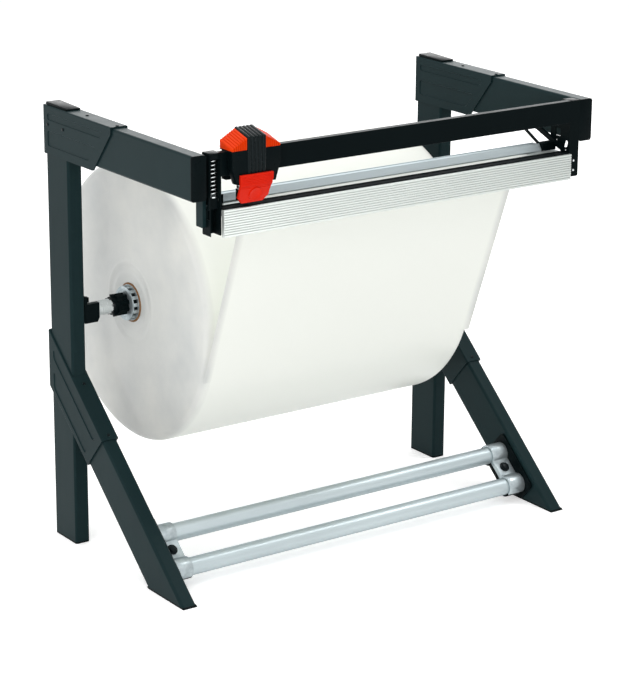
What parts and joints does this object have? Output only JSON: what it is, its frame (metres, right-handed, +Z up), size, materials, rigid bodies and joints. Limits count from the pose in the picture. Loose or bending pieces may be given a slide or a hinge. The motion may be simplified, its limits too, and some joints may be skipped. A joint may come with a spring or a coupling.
{
  "type": "film roll cutting stand",
  "caption": "Free-standing cutting stand for a wide roll of wrapping film: side frames, spindle, fluted cutting bar, sprung press rail and a cutter carriage sliding on a guide beam.",
  "frame": {"origin": "on the floor, at the middle of the box round the whole stand", "axes": "+X runs along the roll to the right of someone who stands at the cutting bar, +Y runs from the cutting bar back to the roll, +Z is up"},
  "size_m": [0.9008, 0.7384, 0.876],
  "materials": {
    "frame_paint": "fine-textured anthracite powder coat",
    "black_steel": "satin black powder coat",
    "black_plastic": "moulded, satin",
    "orange_plastic": "moulded, ribbed",
    "red_plastic": "moulded, finely ribbed",
    "anodised_aluminium": "drawn and clear anodised",
    "cast_aluminium": "die cast, tumbled",
    "bright_steel": "bright zinc plated",
    "black_fastener": "black oxide",
    "black_rubber": "plain",
    "white_glide": "plain acetal",
    "film": "milky soft wrapping film, wound",
    "cardboard": "wound cardboard tube"
  },
  "bodies": {
    "stand": {"arm_caps": "black_plastic", "channel_caps": "black_plastic", "clamp_bolts": "black_fastener", "cutting_bar": "anodised_aluminium", "film_web": "film", "foot_caps": "black_plastic", "guide_beam": "black_steel", "gusset_screws": "black_fastener", "knife_strip": "black_rubber", "left_arm": "frame_paint", "left_clamp_back": "black_plastic", "left_clamp_base": "black_steel", "left_clamp_front": "cast_aluminium", "left_cradle": "black_steel", "left_end_channel": "black_steel", "left_leg": "frame_paint", "left_leg_gusset": "frame_paint", "left_post": "frame_paint", "left_top_gusset": "frame_paint", "lower_cross_tube": "anodised_aluminium", "pivot_pins": "bright_steel", "post_caps": "black_plastic", "rail_spring": "bright_steel", "right_arm": "frame_paint", "right_clamp_back": "black_plastic", "right_clamp_base": "black_steel", "right_clamp_front": "cast_aluminium", "right_cradle": "black_steel", "right_end_channel": "black_steel", "right_leg": "frame_paint", "right_leg_gusset": "frame_paint", "right_post": "frame_paint", "right_top_gusset": "frame_paint", "spacer_plate": "frame_paint", "upper_cross_tube": "anodised_aluminium"},
    "press_bar": {"press_rail": "anodised_aluminium", "rail_pad": "black_rubber", "left_rail_lever": "black_plastic", "right_rail_lever": "black_plastic", "lift_pins": "bright_steel", "spring_plunger": "black_plastic", "spring_seat": "bright_steel"},
    "carriage": {"carriage_body": "black_plastic", "left_roof_cover": "orange_plastic", "right_roof_cover": "orange_plastic", "grip_band": "black_plastic", "carriage_glides": "white_glide", "guide_pins": "bright_steel"},
    "cutter_head": {"blade_guard": "red_plastic", "blade_holder": "black_plastic", "blade": "bright_steel"},
    "release_button": {"release_button": "red_plastic"},
    "spindle": {"spindle_shaft": "bright_steel", "left_chuck": "cast_aluminium", "right_chuck": "cast_aluminium", "roll_core": "cardboard", "film_roll": "film"},
    "left_hub": {"left_locking_hub": "black_plastic"},
    "right_hub": {"right_locking_hub": "black_plastic"}
  },
  "joints": [
    {"name": "roll_spin", "type": "hinge", "parent": "stand", "child": "spindle", "pos_m": [0.0075, 0.0992, 0.4535], "axis": [1, 0, 0], "continuous": true},
    {"name": "left_hub_turn", "type": "hinge", "parent": "spindle", "child": "left_hub", "pos_m": [-0.332, 0.0992, 0.4535], "axis": [1, 0, 0], "range_deg": [0, 90]},
    {"name": "right_hub_turn", "type": "hinge", "parent": "spindle", "child": "right_hub", "pos_m": [0.347, 0.0992, 0.4535], "axis": [-1, 0, 0], "range_deg": [0, 90]},
    {"name": "carriage_slide", "type": "slide", "parent": "stand", "child": "carriage", "axis": [1, 0, 0], "range_m": [-0.01, 0.666]},
    {"name": "blade_plunge", "type": "slide", "parent": "carriage", "child": "cutter_head", "axis": [0, 0, -1], "range_m": [0, 0.004], "stiffness_N_per_m": 700, "springref_m": -0.004},
    {"name": "button_press", "type": "slide", "parent": "cutter_head", "child": "release_button", "axis": [0, 0.9304, 0.3665], "range_m": [0, 0.002], "stiffness_N_per_m": 500, "springref_m": -0.002},
    {"name": "press_bar_lift", "type": "hinge", "parent": "stand", "child": "press_bar", "pos_m": [0, -0.2408, 0.783], "axis": [-1, 0, 0], "range_deg": [0, 7.5], "stiffness_Nm_per_rad": 3, "springref_deg": -11.46, "deforming": ["rail_spring"]}
  ]
}
